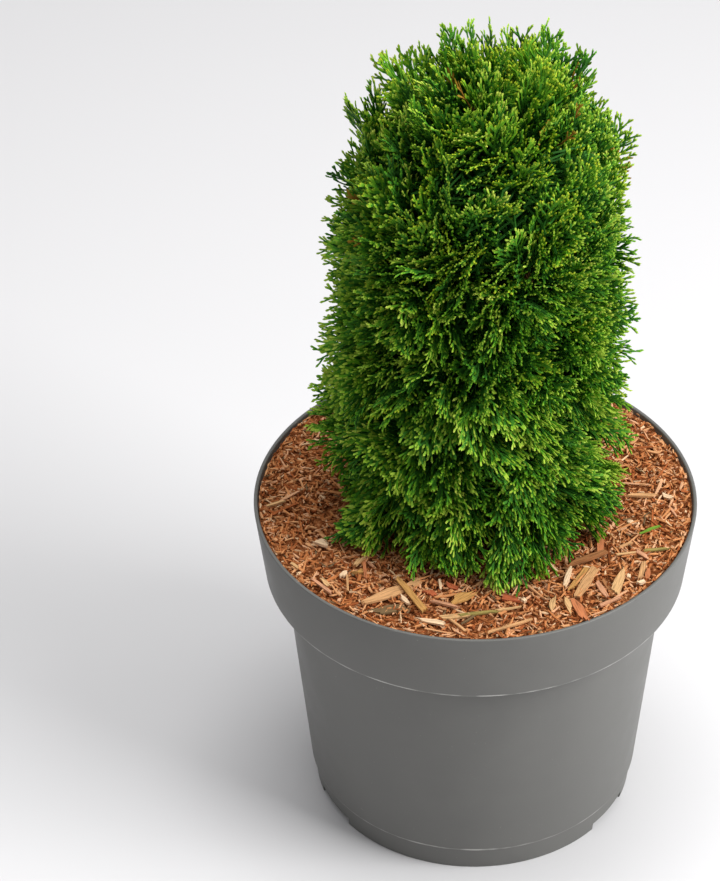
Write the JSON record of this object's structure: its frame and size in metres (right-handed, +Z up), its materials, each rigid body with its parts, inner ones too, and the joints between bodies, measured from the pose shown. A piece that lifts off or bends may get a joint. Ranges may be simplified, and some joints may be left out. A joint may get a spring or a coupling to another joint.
{
  "type": "potted dwarf arborvitae",
  "caption": "Small evergreen shrub with a dense egg-shaped crown of flat scaly sprays on a short trunk, standing in a round grey nursery pot mulched with wood chips.",
  "frame": {"origin": "on the floor under the pot's axis: middle of the box's underside", "axes": "+Z up along the pot's axis; -Y faces the picture's camera, +X is to its right"},
  "size_m": [0.2314, 0.2314, 0.4622],
  "materials": {
    "pot_plastic": "moulded mid-grey plastic with a soft sheen and faint scuffs",
    "root_ball": "dark damp potting mix",
    "wood_chips": "shredded reddish-brown wood chips with paler splinters",
    "bark": "thin brown bark with fine lengthwise ridges",
    "foliage": "fresh green scale leaves with pale yellow-green tips"
  },
  "bodies": {
    "root": {"pot": "pot_plastic", "soil": "root_ball", "mulch": "wood_chips", "trunk": "bark", "bough_low_1": "bark", "bough_low_2": "bark", "bough_low_3": "bark", "bough_low_4": "bark", "bough_low_5": "bark", "bough_middle_1": "bark", "bough_middle_2": "bark", "bough_middle_3": "bark", "bough_middle_4": "bark", "bough_middle_5": "bark", "bough_high_1": "bark", "bough_high_2": "bark", "bough_high_3": "bark", "bough_high_4": "bark", "bough_high_5": "bark", "foliage_low_1": "foliage", "foliage_low_2": "foliage", "foliage_low_3": "foliage", "foliage_low_4": "foliage", "foliage_low_5": "foliage", "foliage_middle_1": "foliage", "foliage_middle_2": "foliage", "foliage_middle_3": "foliage", "foliage_middle_4": "foliage", "foliage_middle_5": "foliage", "foliage_high_1": "foliage", "foliage_high_2": "foliage", "foliage_high_3": "foliage", "foliage_high_4": "foliage", "foliage_high_5": "foliage", "foliage_top": "foliage"}
  },
  "joints": []
}
